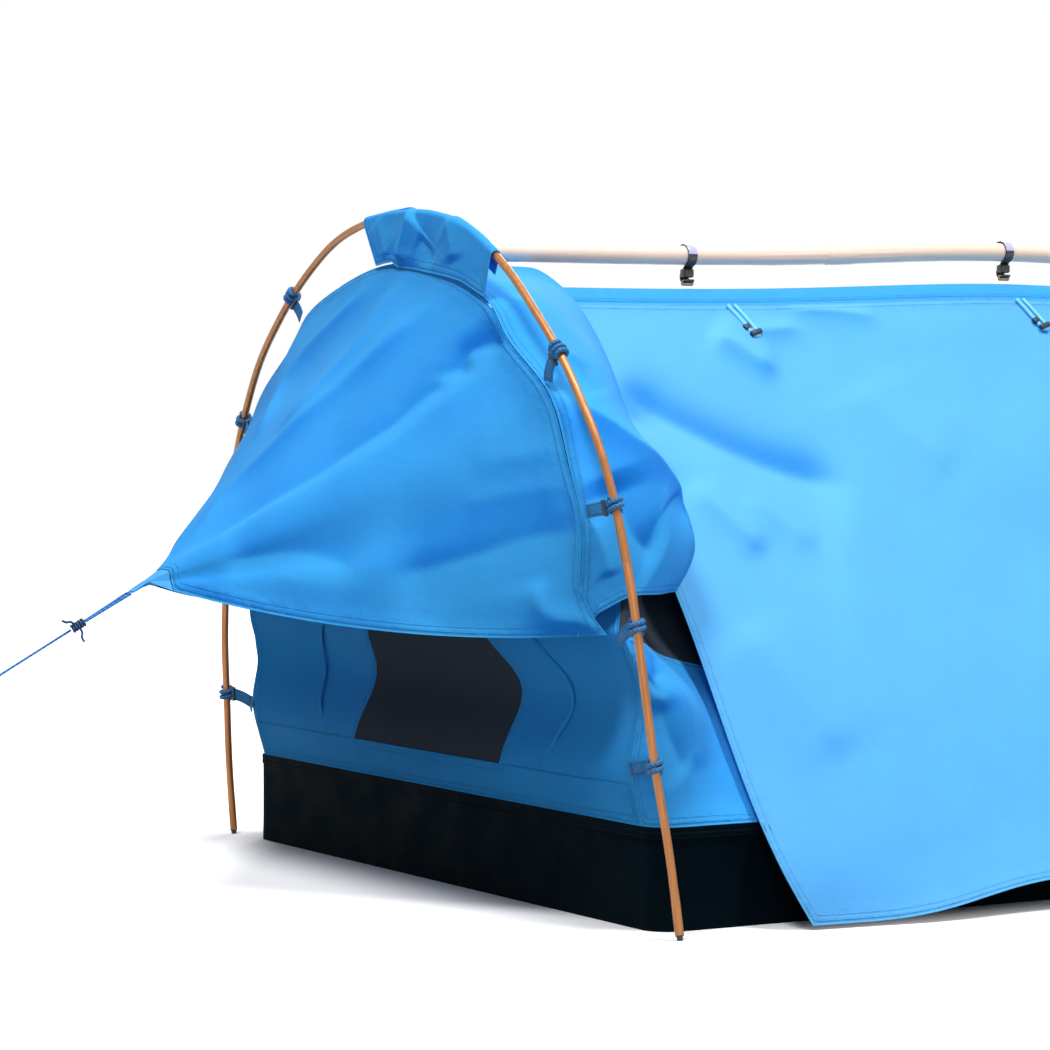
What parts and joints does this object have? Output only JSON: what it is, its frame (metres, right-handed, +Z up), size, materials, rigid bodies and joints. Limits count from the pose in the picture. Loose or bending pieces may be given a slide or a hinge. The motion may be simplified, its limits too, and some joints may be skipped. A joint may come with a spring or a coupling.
{
  "type": "swag bedroll tent",
  "caption": "Free standing canvas bedroll tent with a padded tub, hoop and ridge pole frame, mesh windows, side flies and a pegged front awning.",
  "frame": {"origin": "centre of the tub's flat underside, on the ground", "axes": "+Z up, -Y towards the awning and its guy rope, +X towards the side seen in the picture"},
  "size_m": [1.3774, 3.3262, 0.9467],
  "materials": {
    "blue_canvas": "matte woven canvas",
    "dark_blue_canvas": "matte woven canvas, darker where doubled",
    "dark_mesh": "fine insect mesh",
    "black_pvc": "coated tub fabric",
    "grey_ticking": "woven mattress cover over foam",
    "bronze_tube": "bronze anodised thin tube",
    "silver_tube": "satin tube",
    "black_plastic": "moulded",
    "blue_webbing": "woven tape",
    "tan_webbing": "cord ring",
    "blue_rope": "braided cord",
    "zinc_steel": "plated wire"
  },
  "bodies": {
    "shelter": {"awning_strap": "blue_webbing", "far_side_mesh": "dark_mesh", "far_side_wall": "blue_canvas", "front_awning": "blue_canvas", "front_far_tie_1": "blue_webbing", "front_far_tie_2": "blue_webbing", "front_far_tie_3": "blue_webbing", "front_far_tie_4": "blue_webbing", "front_hood": "blue_canvas", "front_hoop_crown": "bronze_tube", "front_hoop_far_foot": "black_plastic", "front_hoop_far_leg": "bronze_tube", "front_hoop_near_foot": "black_plastic", "front_hoop_near_leg": "bronze_tube", "front_near_tie_1": "blue_webbing", "front_near_tie_2": "blue_webbing", "front_near_tie_3": "blue_webbing", "front_near_tie_4": "blue_webbing", "front_pole_cup": "black_plastic", "front_sleeve": "dark_blue_canvas", "front_wall": "blue_canvas", "front_window_mesh": "dark_mesh", "guy_knot": "blue_webbing", "guy_peg": "zinc_steel", "guy_rope": "blue_rope", "guy_rope_loop": "blue_rope", "mattress": "grey_ticking", "near_side_mesh": "dark_mesh", "near_side_wall": "blue_canvas", "pvc_tub": "black_pvc", "rear_hood": "blue_canvas", "rear_hoop_crown": "bronze_tube", "rear_hoop_far_foot": "black_plastic", "rear_hoop_far_leg": "bronze_tube", "rear_hoop_near_foot": "black_plastic", "rear_hoop_near_leg": "bronze_tube", "rear_pole_cup": "black_plastic", "rear_sleeve": "dark_blue_canvas", "rear_wall": "blue_canvas", "rear_window_mesh": "dark_mesh", "ridge_band": "blue_canvas", "ridge_ferrule_front": "silver_tube", "ridge_ferrule_rear": "silver_tube", "ridge_pole_front": "silver_tube", "ridge_pole_middle": "silver_tube", "ridge_pole_rear": "silver_tube"},
    "near_fly": {"near_fly": "blue_canvas", "near_tie_loop_front": "blue_webbing", "near_tie_loop_middle": "blue_webbing"},
    "far_fly": {"far_fly": "blue_canvas"},
    "end_flap": {"rear_end_flap": "blue_canvas"},
    "near_slider": {"near_zip_slider": "black_plastic"},
    "far_slider": {"far_zip_slider": "black_plastic"},
    "front_hook": {"ridge_hook_front": "black_plastic", "ridge_ring_front": "tan_webbing"},
    "middle_hook": {"ridge_hook_middle": "black_plastic", "ridge_ring_middle": "tan_webbing"},
    "rear_hook": {"ridge_hook_rear": "black_plastic", "ridge_ring_rear": "tan_webbing"}
  },
  "joints": [
    {"name": "near_fly_lift", "type": "hinge", "parent": "shelter", "child": "near_fly", "pos_m": [0.0236, 0, 0.8376], "axis": [0, -1, 0], "range_deg": [0, 60]},
    {"name": "far_fly_lift", "type": "hinge", "parent": "shelter", "child": "far_fly", "pos_m": [-0.0236, 0, 0.8376], "axis": [0, 1, 0], "range_deg": [0, 60]},
    {"name": "end_flap_lift", "type": "hinge", "parent": "shelter", "child": "end_flap", "pos_m": [0, 1.0712, 0.865], "axis": [1, 0, 0], "range_deg": [0, 70]},
    {"name": "near_zip_slide", "type": "slide", "parent": "shelter", "child": "near_slider", "axis": [0, 1, 0], "range_m": [0, 1.2]},
    {"name": "far_zip_slide", "type": "slide", "parent": "shelter", "child": "far_slider", "axis": [0, 1, 0], "range_m": [0, 1.2]},
    {"name": "front_hook_swing", "type": "hinge", "parent": "shelter", "child": "front_hook", "pos_m": [0, -0.584, 0.89354], "axis": [0, 1, 0], "range_deg": [-6, 6]},
    {"name": "middle_hook_swing", "type": "hinge", "parent": "shelter", "child": "middle_hook", "pos_m": [0, 0, 0.912], "axis": [0, 1, 0], "range_deg": [-6, 6]},
    {"name": "rear_hook_swing", "type": "hinge", "parent": "shelter", "child": "rear_hook", "pos_m": [0, 0.584, 0.89354], "axis": [0, 1, 0], "range_deg": [-6, 6]}
  ]
}
